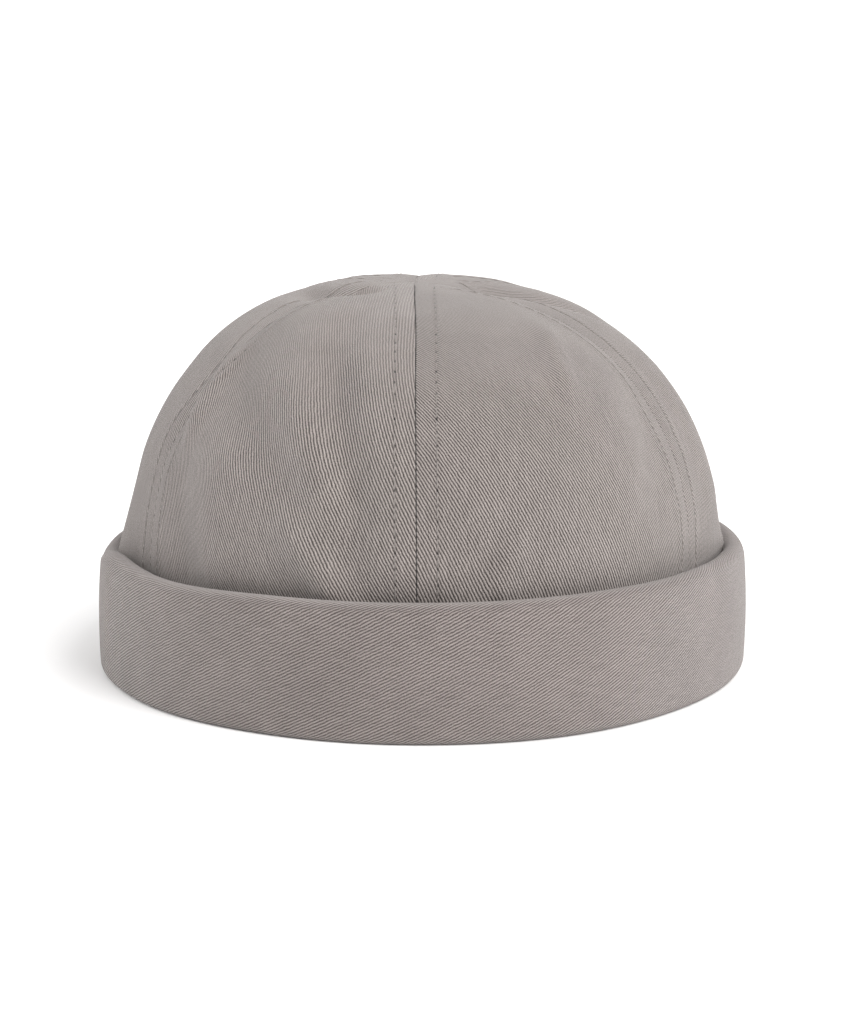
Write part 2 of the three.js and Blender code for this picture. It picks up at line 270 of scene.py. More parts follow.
# The turned up leg. Height is a share of CUFF_HEIGHT, and swell and lean are shares of CUFF_SWAY.
CUFF_SECTIONS = [
    {"angle": -180, "height": 0.85, "swell": 0.3, "lean": 0},
    {"angle": -112, "height": 0.84, "swell": 0, "lean": 0},
    {"angle": -90, "height": 0.84, "swell": 0, "lean": -0.3},
    {"angle": -68, "height": 0.97, "swell": 0.7, "lean": -0.4},
    {"angle": -50, "height": 0.95, "swell": 1, "lean": -0.6},
    {"angle": -25, "height": 0.99, "swell": 0.3, "lean": -0.1},
    {"angle": 0, "height": 1, "swell": 0.3, "lean": -0.1},
    {"angle": 22, "height": 1, "swell": 0.6, "lean": -0.3},
    {"angle": 52, "height": 0.985, "swell": -0.2, "lean": 0.2},
    {"angle": 70, "height": 0.97, "swell": 0, "lean": 0},
    {"angle": 90, "height": 0.9, "swell": 0, "lean": -0.2},
    {"angle": 112, "height": 0.89, "swell": 0, "lean": 0},
    {"angle": 180, "height": 0.85, "swell": 0.3, "lean": 0},
]

PANELS = [
    {"name": "panel_front_left", "from": "left", "to": "front", "start": -60},
    {"name": "panel_front_right", "from": "front", "to": "right", "start": 0},
    {"name": "panel_right", "from": "right", "to": "back_right", "start": 60},
    {"name": "panel_back_right", "from": "back_right", "to": "back", "start": 120},
    {"name": "panel_back_left", "from": "back", "to": "back_left", "start": -180},
    {"name": "panel_left", "from": "back_left", "to": "left", "start": -120},
]


def smooth_step(value, low, high):
    share = np.clip((value - low) / (high - low), 0, 1)
    return share * share * (3 - 2 * share)


def bump_of(value, middle, width):
    """A smooth hump, 1 at the middle."""
    return np.exp(-(((value - middle) / width) ** 2))


def unit(vectors):
    return vectors / np.maximum(np.linalg.norm(vectors, axis=-1, keepdims=True), 1e-12)


def along(rows, column, place):
    """A smooth curve through one column of a table, at places counted in rows."""
    values = np.array([row[column] for row in rows], float)
    first = np.clip(np.floor(place).astype(int), 0, len(rows) - 2)
    before, start, end, after = (
        values[np.clip(first + step, 0, len(rows) - 1)] for step in (-1, 0, 1, 2)
    )
    share = place - first
    linear = (end - before) / 2
    square = before - 2.5 * start + 2 * end - after / 2
    cube = (after - before) / 2 + (start - end) * 1.5
    return start + share * (linear + share * (square + share * cube))


def base_point(angle, place):
    """The crown without puff or folds, at an angle in degrees and a place in sections."""
    turn = np.radians(angle)
    side, ahead = np.sin(turn), -np.cos(turn)
    side_reach = np.where(
        side < 0,
        along(CROWN_SECTIONS, "left", place),
        along(CROWN_SECTIONS, "right", place),
    )
    ahead_reach = np.where(
        ahead < 0,
        along(CROWN_SECTIONS, "front", place),
        along(CROWN_SECTIONS, "back", place),
    )
    reach = side_reach * side**2 + ahead_reach * ahead**2
    height = HEM_HEIGHT + CROWN_RISE * along(CROWN_SECTIONS, "height", place)
    return np.stack([HALF_WIDTH * reach * side, HALF_DEPTH * reach * ahead, height], -1)


def outward(angle, place):
    """The way out of the crown, within the upright plane through its middle."""
    last = len(CROWN_SECTIONS) - 1
    below = base_point(angle, np.maximum(place - 0.01, 0))
    above = base_point(angle, np.minimum(place + 0.01, last))
    turn = np.radians(angle)
    away = unit(np.stack([HALF_WIDTH * np.sin(turn), -HALF_DEPTH * np.cos(turn), 0 * turn], -1))
    rise = above[..., 2] - below[..., 2]
    lost = np.hypot(below[..., 0], below[..., 1]) - np.hypot(above[..., 0], above[..., 1])
    up = np.zeros_like(away)
    up[..., 2] = lost * smooth_step(place, 0, 1)
    return unit(away * rise[..., None] + up)


def place_of_height(share):
    heights = [row["height"] for row in CROWN_SECTIONS]
    above = next(i for i, height in enumerate(heights) if height >= share)
    low, high = heights[above - 1], heights[above]
    return above - 1 + (share - low) / (high - low)


def fold_line(path):
    """Points of the crown's base along a fold, close together."""
    knots = np.arange(len(path))
    fine = np.linspace(0, len(path) - 1, FOLD_STEPS * (len(path) - 1) + 1)
    angles = np.interp(fine, knots, [angle for angle, _ in path])
    places = np.interp(fine, knots, [place_of_height(height) for _, height in path])
    return base_point(angles, places)


def folds_at(points):
    total = np.zeros(points.shape[:-1])
    for fold in CROWN_FOLDS:
        line = fold_line(fold["path"])
        away = np.full(points.shape[:-1], np.inf)
        reached = np.zeros(points.shape[:-1])
        for number, (start, end) in enumerate(zip(line[:-1], line[1:])):
            step = end - start
            share = np.clip((points - start) @ step / (step @ step), 0, 1)
            length = np.linalg.norm(points - start - share[..., None] * step, axis=-1)
            reached = np.where(length < away, (number + share) / (len(line) - 1), reached)
            away = np.minimum(away, length)
        fade = smooth_step(reached, -0.1, FOLD_FADE) * smooth_step(1 - reached, -0.1, FOLD_FADE)
        total += fade * fold["rise"] * FOLD_RISE * bump_of(away, 0, fold["width"] * FOLD_WIDTH)
    return total


def noise_at(points, size, layer):
    """Smooth noise from -1 to 1 over points, with features of one size."""
    shift = Vector((0, 0, 17.3 * layer))
    flat = points.reshape(-1, 3) / size
    values = [noise.noise(Vector(point) + shift) for point in flat.tolist()]
    return np.array(values).reshape(points.shape[:-1])


def wrinkles_at(points):
    wide = WRINKLE_RISE * noise_at(points, WRINKLE_SIZE, 1)
    return wide + CRUMPLE_RISE * noise_at(points, CRUMPLE_SIZE, 2)


def seam_form(edge, run, sharp, layer):
    """How far the outer face rises beside a seam: edge is the distance from it, run the way along."""
    lip = 1 - np.clip(edge / LIP_WIDTH, 0, 1)
    rolled = LIP_DEPTH * (1 - np.sqrt(1 - lip**2)) * sharp
    printed = ALLOWANCE_PRINT * (1 - smooth_step(edge, SEAM_ALLOWANCE, SEAM_ALLOWANCE + ALLOWANCE_FADE))
    holes = np.cos(math.pi * run / STITCH_PITCH) ** 2
    depth = STITCH_SINK * (1 - STITCH_HOLES + STITCH_HOLES * holes)
    sunk = depth * bump_of(edge, STITCH_OFFSET, STITCH_SINK_WIDTH)
    path = np.stack([run, 0 * run, 0 * run + layer * PUCKER_LENGTH], -1)
    ripple = noise_at(path, PUCKER_LENGTH, 3)
    reach = bump_of(edge, PUCKER_REACH, PUCKER_REACH)
    return printed - rolled - sunk + PUCKER_RISE * ripple * reach


def eased_rows(rows, column, angle):
    """One column of a table at angles in degrees, eased between its rows."""
    angles = np.array([row["angle"] for row in rows], float)
    values = np.array([row[column] for row in rows], float)
    nearest = np.clip(np.searchsorted(angles, angle), 1, len(angles) - 1)
    share = smooth_step(angle, angles[nearest - 1], angles[nearest])
    return values[nearest - 1] + (values[nearest] - values[nearest - 1]) * share


def hem_tuck(points):
    """How far the crown tucks in just above the cuff."""
    angle = np.degrees(np.arctan2(points[..., 0] / HALF_WIDTH, -points[..., 1] / HALF_DEPTH))
    depth = TUCK_DEPTH * eased_rows(TUCK_ROWS, "depth", angle)
    return depth * bump_of(points[..., 2], TUCK_HEIGHT, TUCK_WIDTH)


def cloth_mesh(name, points, faces, maps):
    """A mesh object from points, quads and UV maps, each map with one pair for each quad corner."""
    mesh = bpy.data.meshes.new(name)
    mesh.from_pydata(points.tolist(), [], faces.tolist())
    for map_name, corners in maps.items():
        layer = mesh.uv_layers.new(name=map_name)
        layer.uv.foreach_set("vector", corners.astype(np.float32).ravel())
    mesh.update()
    mesh.shade_smooth()
    mesh.set_sharp_from_angle(angle=math.radians(SHARP_ANGLE))
    piece = bpy.data.objects.new(name, mesh)
    bpy.context.scene.collection.objects.link(piece)
    return piece


def shell_faces(rows, columns):
    """Quads of a closed shell between an outer and an inner grid."""
    at = np.arange(2 * rows * columns).reshape(2, rows, columns)
    outer, inner = at

    def quads(a, b, c, d):
        return np.stack([a.ravel(), b.ravel(), c.ravel(), d.ravel()], -1)

    return np.concatenate(
        [
            quads(outer[:-1, :-1], outer[:-1, 1:], outer[1:, 1:], outer[1:, :-1]),
            quads(inner[:-1, :-1], inner[1:, :-1], inner[1:, 1:], inner[:-1, 1:]),
            quads(outer[:-1, 0], outer[1:, 0], inner[1:, 0], inner[:-1, 0]),
            quads(outer[:-1, -1], inner[:-1, -1], inner[1:, -1], outer[1:, -1]),
            quads(outer[0, :-1], inner[0, :-1], inner[0, 1:], outer[0, 1:]),
            quads(outer[-1, :-1], outer[-1, 1:], inner[-1, 1:], inner[-1, :-1]),
        ]
    )


def flattened(points):
    """Flat cloth coordinates of a panel's grid: up its middle column, and out from it along each row,
    with the cloth drawn out towards the hem and eased in towards the top."""
    steps = np.linalg.norm(points[:, 1:] - points[:, :-1], axis=-1)
    reach = np.concatenate([np.zeros((len(points), 1)), np.cumsum(steps, 1)], 1)
    middle = points.shape[1] // 2
    height = seam_run(points, middle)
    width = reach[:, -1]
    even = np.polyval(np.polyfit(height, width, 4), height)
    low = np.clip(1 - height / HEM_STRETCH_REACH, 0, 1) ** 2
    high = smooth_step(height, TOP_EASE_FROM, TOP_EASE_TO)
    scale = np.clip(even / width, 1 - WIDTH_CHANGE, 1 + WIDTH_CHANGE)
    scale = scale * (1 - HEM_STRETCH * low) * (1 + TOP_EASE * high)
    across = (reach - reach[:, middle : middle + 1]) * scale[:, None]
    return np.stack([across, np.broadcast_to(height[:, None], across.shape)], -1)


def even_places(panel):
    """Section places of a panel's rows, evenly spaced over the cloth from the hem to the top."""
    places = np.linspace(0, len(CROWN_SECTIONS) - 1, LENGTH_SAMPLES)
    middle = base_point(np.full(LENGTH_SAMPLES, panel["start"] + PANEL_ANGLE / 2.0), places)
    run = np.concatenate([[0], np.cumsum(np.linalg.norm(np.diff(middle, axis=0), axis=-1))])
    count = int(run[-1] / ROW_STEP) + 1
    return np.interp(np.linspace(0, run[-1], count), run, places)


def edge_columns():
    """Distances from a seam at which a panel has columns, closer where the cloth has detail."""
    lip = LIP_WIDTH * (1 - np.cos(np.linspace(0, math.pi / 2, LIP_COLUMNS)))
    flat = np.linspace(LIP_WIDTH, STITCH_OFFSET - 3 * STITCH_SINK_WIDTH, FLAT_COLUMNS)[1:]
    sunk = STITCH_OFFSET + STITCH_SINK_WIDTH * np.linspace(-2.3, 2.3, SUNK_COLUMNS)
    allowance = np.array(ALLOWANCE_COLUMNS) * MM
    return np.concatenate([lip, flat, sunk, allowance])


def puffed(panel, across, place):
    """A point of a panel with its puff, the way out there, and the base under it."""
    stray = {seam: along(SEAM_STRAYS, panel[seam], place / 2) for seam in ("from", "to")}
    start = panel["start"] + stray["from"]
    end = panel["start"] + PANEL_ANGLE + stray["to"]
    angle = start + (end - start) * across
    out = outward(angle, place)
    swell = 1 - np.abs(2 * across - 1) ** PUFF_SQUARENESS
    puff = PANEL_PUFF * swell * along(CROWN_SECTIONS, "puff", place)
    base = base_point(angle, place)
    point = base + out * puff[..., None]
    point[..., 0] += TIP_SHIFT * smooth_step(place, TIP_SHIFT_FROM, len(CROWN_SECTIONS) - 1)
    return point, out, base


def panel_grid(panel):
    """A panel's grid: its points before the fine detail, the way out, the base, the shares across and
    the distances from its seams."""
    places = even_places(panel)
    samples = np.linspace(0, 1, ACROSS_SAMPLES)
    fine, _, _ = puffed(panel, samples[None, :] + 0 * places[:, None], places[:, None] + 0 * samples)
    lengths = np.linalg.norm(np.diff(fine, axis=1), axis=-1)
    reach = np.concatenate([np.zeros((len(places), 1)), np.cumsum(lengths, 1)], 1)
    edges = edge_columns()
    across, distance = [], []
    for row_reach in reach:
        width = row_reach[-1]
        near = SEAM_GAP / 2 + edges * min(1, EDGE_SHARE * width / edges[-1])
        inner = np.linspace(near[-1], width - near[-1], INNER_COLUMNS + 2)[1:-1]
        row = np.concatenate([near, inner, width - near[::-1]])
        row = np.clip(row, 0, width)
        across.append(np.interp(row, row_reach, samples))
        distance.append(np.stack([row, width - row], -1))
    across, distance = np.array(across), np.array(distance)
    points, out, base = puffed(panel, across, places[:, None] + 0 * across)
    return points, out, base, across, distance


def seam_run(points, column):
    steps = np.linalg.norm(np.diff(points[:, column], axis=0), axis=-1)
    return np.concatenate([[0], np.cumsum(steps)])


def make_panel(panel, layer):
    points, out, base, across, distance = panel_grid(panel)
    flat = flattened(points)
    edge = distance.min(-1)
    share = smooth_step(across, 0.3, 0.7)
    run = seam_run(points, 0)[:, None] * (1 - share) + seam_run(points, -1)[:, None] * share
    soft = folds_at(base) + wrinkles_at(points) - hem_tuck(points)
    sharpness = [1.0 if panel[seam] in SHARP_SEAMS else SOFT_SEAM for seam in ("from", "to")]
    sharp = np.where(distance[..., 0] < distance[..., 1], *sharpness)
    sharp = sharp * smooth_step(distance.sum(-1), 0.2 * SMOOTH_TIP, SMOOTH_TIP)
    fine = seam_form(edge, run, sharp, layer)
    outer = points + out * (soft + fine)[..., None]
    lip = 1 - np.clip(edge / LIP_WIDTH, 0, 1)
    doubled = 1 - smooth_step(edge, SEAM_ALLOWANCE, SEAM_ALLOWANCE + ALLOWANCE_EDGE)
    depth = CLOTH * (1 + doubled) - LIP_DEPTH * (1 - np.sqrt(1 - lip**2)) / 2
    inner = points + out * (soft - depth)[..., None]
    rows, columns = edge.shape
    faces = shell_faces(rows, columns)
    both = np.concatenate([outer.reshape(-1, 3), inner.reshape(-1, 3)])
    cloth = np.tile(flat.reshape(-1, 2), (2, 1))
    # softer seams get less of the groove's painted shade
    beside = np.maximum(edge, (1 - sharp) * GROOVE_WIDTH)
    seams = np.tile(np.stack([beside, run], -1).reshape(-1, 2), (2, 1))
    maps = {"cloth": cloth[faces], "seams": seams[faces]}
    piece = cloth_mesh(panel["name"] + "_cloth", both, faces, maps)
    return piece, {"outer": outer, "inner": inner, "out": out, "distance": distance, "points": points}


def stitch_points(grid, side, inside):
    """Middles of the stitches beside one seam, with the way along and the way out at each."""
    distance = grid["distance"][..., side]
    fits = grid["distance"].sum(-1)[:, 0] > 2 * STITCH_OFFSET + 1 * MM
    face = grid["inner"] if inside else grid["points"]
    surface = grid["inner"] if inside else grid["outer"]
    line = []
    for row in np.nonzero(fits)[0]:
        order = np.argsort(distance[row])
        known = np.concatenate([surface[row][order], grid["out"][row][order]], -1)
        line.append([np.interp(STITCH_OFFSET, distance[row][order], column) for column in known.T])
    line = np.array(line)
    run = seam_run(face, 0 if side == 0 else -1)[: len(line)]
    middles = np.arange(1.5, run[-1] / STITCH_PITCH - 0.5) * STITCH_PITCH
    at = np.stack([np.interp(middles, run, line[:, k]) for k in range(6)], -1)
    ahead = np.stack([np.interp(middles + MM, run, line[:, k]) for k in range(3)], -1)
    behind = np.stack([np.interp(middles - MM, run, line[:, k]) for k in range(3)], -1)
    way = unit(ahead - behind)
    out = at[:, 3:] * (-1 if inside else 1)
    out = unit(out - (out * way).sum(-1, keepdims=True) * way)
    return at[:, :3], way, out


def cuff_at(angle):
    """The turned up leg's height, swell and lean."""
    height, swell, lean = (eased_rows(CUFF_SECTIONS, key, angle) for key in ("height", "swell", "lean"))
    return CUFF_HEIGHT * height, CUFF_SWAY * swell, CUFF_SWAY * lean


def arc(middle, radius, start, end, count):
    """Points of an arc, as offset and height, for many sections at once."""
    turns = np.linspace(start, end, count)
    radius = np.broadcast_to(radius, middle[0].shape)[:, None]
    offset = middle[0][:, None] + radius * np.cos(turns)
    height = middle[1][:, None] + radius * np.sin(turns)
    return np.stack([offset, height], -1)


def leg(start, middle, end, count):
    """Points from start to end through middle on a smooth bow, without its two ends."""
    share = np.linspace(0, 1, count + 2)[1:-1][None, :, None]
    start, middle, end = (np.stack(point, -1)[:, None, :] for point in (start, middle, end))
    bow = 4 * share * (1 - share)
    return start + (end - start) * share + (middle - (start + end) / 2) * bow


def cuff_outline(angle):
    """The band's closed section at each angle: offset outwards from the crown's hem, and height."""
    height, swell, lean = cuff_at(angle)
    same = np.ones_like(angle)
    inside = CHANNEL_GAP + swell
    outside = inside + BAND_WALL
    leg_top = (HEM_HEIGHT - PIECE_GAP) * same
    rolled = RIM_ROLL / 2 * (1 + SIDE_ROLL * bump_of(np.abs(angle), SIDE_ROLL_ANGLE, SIDE_ROLL_WIDTH))
    roll_middle = outside + lean - rolled
    belly = CUFF_BELLY + lean / 2
    rim_low = height - rolled
    quarter = math.pi / 2
    under = (roll_middle + rolled * math.cos(RIM_TURN), rim_low + rolled * math.sin(RIM_TURN))
    wall = -BAND_WALL * same
    hem = 0 * same
    bend = FOLD_RADIUS * same
    foot = BAND_WALL + inside / 2
    stretches = [
        leg((wall, leg_top), (wall, (leg_top + FOLD_RADIUS) / 2), (wall, bend), INNER_LEG_POINTS),
        arc((wall + FOLD_RADIUS, bend), FOLD_RADIUS, -2 * quarter, -quarter, BEND_POINTS),
        arc((outside - FOLD_RADIUS, bend), FOLD_RADIUS, -quarter, 0, BEND_POINTS),
        leg((outside, bend), (outside + belly, height / 2), (outside + lean, rim_low), OUTER_LEG_POINTS),
        arc((roll_middle, rim_low), rolled, 0, RIM_TURN, ROLL_POINTS),
        leg(under, (inside + lean / 2, height / 2), (inside, foot), UNDER_LEG_POINTS),
        leg((inside, foot), (inside / 2, BAND_WALL * same), (hem, foot), SHORT_LEG_POINTS),
        leg((hem, foot), (hem, leg_top / 2), (hem, leg_top), SHORT_LEG_POINTS),
        np.stack([hem, leg_top], -1)[:, None, :],
        np.stack([wall, leg_top], -1)[:, None, :],
    ]
    return np.concatenate(stretches, axis=1)


def make_cuff():
    angle = -180 + 360 * np.arange(CUFF_STEPS) / CUFF_STEPS
    outline = cuff_outline(angle)
    turn = np.radians(angle)[:, None]
    offset, height = outline[..., 0], outline[..., 1]
    points = np.stack(
        [(HALF_WIDTH + offset) * np.sin(turn), -(HALF_DEPTH + offset) * np.cos(turn), height], -1
    )
    away = unit(points * [1, 1, 0])
    leg_height = cuff_at(angle)[0][:, None]
    turned_up = smooth_step(offset, 0, CHANNEL_GAP) * smooth_step(height, 2 * MM, 0.35 * leg_height)
    around = np.stack([points[..., 0], points[..., 1], 0.5 * points[..., 2]], -1)
    dents = DENT_RISE * noise_at(around, DENT_SIZE, 4)
    dents = dents + SMALL_DENT_RISE * noise_at(points, SMALL_DENT_SIZE, 5)
    points = points + away * (dents * turned_up)[..., None]
    points[..., 2] += RIM_WAVE * noise_at(around * [1, 1, 0], RIM_WAVE_SIZE, 6) * turned_up
    sections, size = offset.shape
    at = np.arange(sections * size).reshape(sections, size)
    beside, above = np.roll(at, -1, 0), np.roll(at, -1, 1)
    faces = np.stack([at, beside, np.roll(beside, -1, 1), above], -1).reshape(-1, 4)
    step = np.linalg.norm(np.roll(points, -1, 1) - points, axis=-1).mean(0)
    lengths = np.concatenate([[0], np.cumsum(step)])
    outside = int(outline[0, :, 0].argmax())
    girth = np.linalg.norm(np.roll(points[:, outside], -1, 0) - points[:, outside], axis=-1)
    around_run = np.concatenate([[0], np.cumsum(girth)])
    u = np.broadcast_to(around_run[:, None], (sections + 1, size + 1))
    v = np.broadcast_to(lengths[None, :], (sections + 1, size + 1))
    flat = np.stack([u / CUFF_STRETCH, v / CUFF_NARROWING], -1)
    corners = np.stack([flat[:-1, :-1], flat[1:, :-1], flat[1:, 1:], flat[:-1, 1:]], 2)
    maps = {"cloth": corners.reshape(-1, 4, 2)}
    return cloth_mesh("turned_up_cuff_cloth", points.reshape(-1, 3), faces, maps)


# Node helpers
def node(tree, kind, **settings):
    made = tree.nodes.new(kind)
    for name, value in settings.items():
        setattr(made, name, value)
    return made


def plug(tree, socket, value):
    if isinstance(value, bpy.types.NodeSocket):
        tree.links.new(value, socket)
    else:
        socket.default_value = value


def calc(tree, operation, *values, clamp=False):
    made = node(tree, "ShaderNodeMath", operation=operation, use_clamp=clamp)
    for socket, value in zip(made.inputs, values):
        plug(tree, socket, value)
    return made.outputs[0]


def eased(tree, value, low, high, out_low, out_high):
    made = node(tree, "ShaderNodeMapRange", interpolation_type="SMOOTHSTEP")
    limits = {"From Min": low, "From Max": high, "To Min": out_low, "To Max": out_high}
    for name, number in limits.items():
        made.inputs[name].default_value = number
    plug(tree, made.inputs["Value"], value)
    return made.outputs[0]


def grain(tree, vector, scale, detail=2.0):
    made = node(tree, "ShaderNodeTexNoise")
    plug(tree, made.inputs["Vector"], vector)
    made.inputs["Scale"].default_value = scale
    made.inputs["Detail"].default_value = detail
    return made.outputs["Fac"]


def twill_group():
    """Three over one twill from flat cloth coordinates: its height and its light and dark, 0 to 1."""
    tree = bpy.data.node_groups.new("three_over_one_twill", "ShaderNodeTree")
    tree.interface.new_socket("Cloth", in_out="INPUT", socket_type="NodeSocketVector")
    tree.interface.new_socket("Height", in_out="OUTPUT", socket_type="NodeSocketFloat")
    tree.interface.new_socket("Shade", in_out="OUTPUT", socket_type="NodeSocketFloat")
    given = node(tree, "NodeGroupInput")
    result = node(tree, "NodeGroupOutput")
    cloth = given.outputs["Cloth"]
    parts = node(tree, "ShaderNodeSeparateXYZ")
    tree.links.new(cloth, parts.inputs[0])
    drift = calc(tree, "MULTIPLY", calc(tree, "SUBTRACT", grain(tree, cloth, 70), 0.5), WALE_DRIFT)
    waver = calc(tree, "MULTIPLY", calc(tree, "SUBTRACT", grain(tree, cloth, 520, 3.0), 0.5), WALE_WAVER)
    ends = calc(tree, "DIVIDE", parts.outputs[0], END_PITCH)
    picks = calc(tree, "DIVIDE", parts.outputs[1], PICK_PITCH)
    picks = calc(tree, "ADD", picks, calc(tree, "ADD", drift, waver))
    diagonal = calc(tree, "DIVIDE", calc(tree, "ADD", ends, picks), TWILL_REPEAT)
    wave = calc(tree, "COSINE", calc(tree, "MULTIPLY", diagonal, 2 * math.pi))
    wale = calc(tree, "MULTIPLY_ADD", wave, -0.5, 0.5)
    end_number = calc(tree, "FLOOR", ends)
    in_end = calc(tree, "SUBTRACT", calc(tree, "FRACT", ends), 0.5)
    section = calc(tree, "COSINE", calc(tree, "MULTIPLY", in_end, math.pi))
    step = calc(tree, "DIVIDE", calc(tree, "ADD", picks, end_number), TWILL_REPEAT)
    in_float = calc(tree, "DIVIDE", calc(tree, "FRACT", step), FLOAT_SHARE)
    lift = calc(tree, "SINE", calc(tree, "MULTIPLY", calc(tree, "MINIMUM", in_float, 1.0), math.pi))
    lift = calc(tree, "POWER", calc(tree, "MAXIMUM", lift, 0.0), 0.6)
    yarn = calc(tree, "MULTIPLY", section, lift)
    coarse = calc(tree, "MULTIPLY", wale, WALE_RELIEF)
    height = calc(tree, "ADD", coarse, calc(tree, "MULTIPLY", yarn, 1 - WALE_RELIEF))
    tree.links.new(height, result.inputs["Height"])
    # Colour's light and dark: partly weft between the wales, partly painted shade in their hollows.
    coarse = calc(tree, "MULTIPLY", wale, WALE_SHADE)
    shade = calc(tree, "ADD", coarse, calc(tree, "MULTIPLY", yarn, 1 - WALE_SHADE))
    fleck = calc(tree, "MULTIPLY_ADD", grain(tree, cloth, 2600, 1.0), FLECK, -FLECK / 2)
    spun = node(tree, "ShaderNodeCombineXYZ")
    tree.links.new(calc(tree, "MULTIPLY", end_number, 0.73), spun.inputs[0])
    tree.links.new(calc(tree, "MULTIPLY", picks, 0.06), spun.inputs[1])
    streak = calc(tree, "MULTIPLY_ADD", grain(tree, spun.outputs[0], 1.0), STREAK, -STREAK / 2)
    uneven = calc(tree, "ADD", fleck, streak)
    tree.links.new(calc(tree, "ADD", shade, uneven, clamp=True), result.inputs["Shade"])
    return tree


def mix_colour(tree, factor, dark, light):
    made = node(tree, "ShaderNodeMix", data_type="RGBA")
    plug(tree, made.inputs[0], factor)
    plug(tree, made.inputs[6], dark)
    plug(tree, made.inputs[7], light)
    return made.outputs[2]


def scaled_colour(tree, colour, factor):
    """A colour times a grey factor."""
    made = node(tree, "ShaderNodeMix", data_type="RGBA", blend_type="MULTIPLY")
    made.inputs[0].default_value = 1.0
    plug(tree, made.inputs[6], colour)
    grey = node(tree, "ShaderNodeCombineColor")
    for socket in grey.inputs[:3]:
        tree.links.new(factor, socket)
    tree.links.new(grey.outputs[0], made.inputs[7])
    return made.outputs[2]


def twill_material(name, valley, ridge, turned, seamed):
    """Twill cloth: turned, its warp runs along the piece, and seamed, it has topstitched seams."""
    material = bpy.data.materials.new(name)
    material.use_nodes = True
    tree = material.node_tree
    shader = tree.nodes["Principled BSDF"]
    cloth = node(tree, "ShaderNodeUVMap", uv_map="cloth").outputs[0]
    if turned:
        spin = node(tree, "ShaderNodeMapping")
        spin.inputs["Rotation"].default_value = (0, 0, -math.pi / 2)
        tree.links.new(cloth, spin.inputs["Vector"])
        cloth = spin.outputs[0]
    weave = node(tree, "ShaderNodeGroup", node_tree=bpy.data.node_groups["three_over_one_twill"])
    tree.links.new(cloth, weave.inputs["Cloth"])
    # Painted light: less of the weave's light and dark on faces turned up to the light.
    facing = node(tree, "ShaderNodeSeparateXYZ")
    tree.links.new(node(tree, "ShaderNodeTexCoord").outputs["Normal"], facing.inputs[0])
    contrast = eased(tree, facing.outputs[2], *FACING_UP, 1.0, TOP_CONTRAST)
    shade = calc(tree, "SUBTRACT", weave.outputs["Shade"], 0.5)
    shade = calc(tree, "MULTIPLY_ADD", shade, contrast, 0.5)
    colour = mix_colour(tree, shade, valley, ridge)
    tone = eased(tree, grain(tree, cloth, 45, 3.0), 0.3, 0.7, *TONES)
    if seamed:
        seams = node(tree, "ShaderNodeUVMap", uv_map="seams")
        parts = node(tree, "ShaderNodeSeparateXYZ")
        tree.links.new(seams.outputs[0], parts.inputs[0])
        edge, run = parts.outputs[0], parts.outputs[1]
        # painted shade in the seam's groove
        uneven = grain(tree, seams.outputs[0], 900)
        jitter = calc(tree, "MULTIPLY_ADD", uneven, GROOVE_WAVER, -GROOVE_WAVER / 2)
        waving = calc(tree, "ADD", edge, jitter)
        groove = eased(tree, waving, GROOVE_CORE, GROOVE_WIDTH, GROOVE_SHADE, 1.0)
        # painted shade in the needle holes, at random stronger or weaker
        phase = calc(tree, "FRACT", calc(tree, "ADD", calc(tree, "DIVIDE", run, STITCH_PITCH), 0.5))
        lengthwise = calc(tree, "MULTIPLY", calc(tree, "SUBTRACT", phase, 0.5), HOLE_SHAPE * STITCH_PITCH)
        crosswise = calc(tree, "SUBTRACT", edge, STITCH_OFFSET)
        spread = calc(tree, "MULTIPLY", lengthwise, lengthwise)
        spread = calc(tree, "MULTIPLY_ADD", crosswise, crosswise, spread)
        hole = eased(tree, calc(tree, "SQRT", spread), HOLE_CORE, HOLE_REACH, HOLE_SHADE, 0.0)
        hole_shade_share = eased(tree, grain(tree, seams.outputs[0], 160), 0.35, 0.65, *HOLE_SHADE_RANGE)
        hole = calc(tree, "SUBTRACT", 1.0, calc(tree, "MULTIPLY", hole, hole_shade_share))
        tone = calc(tree, "MULTIPLY", tone, calc(tree, "MULTIPLY", groove, hole))
    tree.links.new(scaled_colour(tree, colour, tone), shader.inputs["Base Color"])
    bump = node(tree, "ShaderNodeBump")
    bump.inputs["Strength"].default_value = 0.9
    bump.inputs["Distance"].default_value = TWILL_RELIEF
    tree.links.new(weave.outputs["Height"], bump.inputs["Height"])
    tree.links.new(bump.outputs[0], shader.inputs["Normal"])
    shader.inputs["Roughness"].default_value = 0.9
    shader.inputs["Specular IOR Level"].default_value = 0.25
    shader.inputs["Sheen Weight"].default_value = 0.3
    shader.inputs["Sheen Roughness"].default_value = 0.45
    return material


def thread_material():
    material = bpy.data.materials.new("sewing_thread")
    material.use_nodes = True
    tree = material.node_tree
    shader = tree.nodes["Principled BSDF"]
    place = node(tree, "ShaderNodeTexCoord").outputs["Object"]
    colour = mix_colour(tree, grain(tree, place, 3000), THREAD_DARK, THREAD_LIGHT)
    tree.links.new(colour, shader.inputs["Base Color"])
    shader.inputs["Roughness"].default_value = 0.7
    shader.inputs["Sheen Weight"].default_value = 0.2
    return material


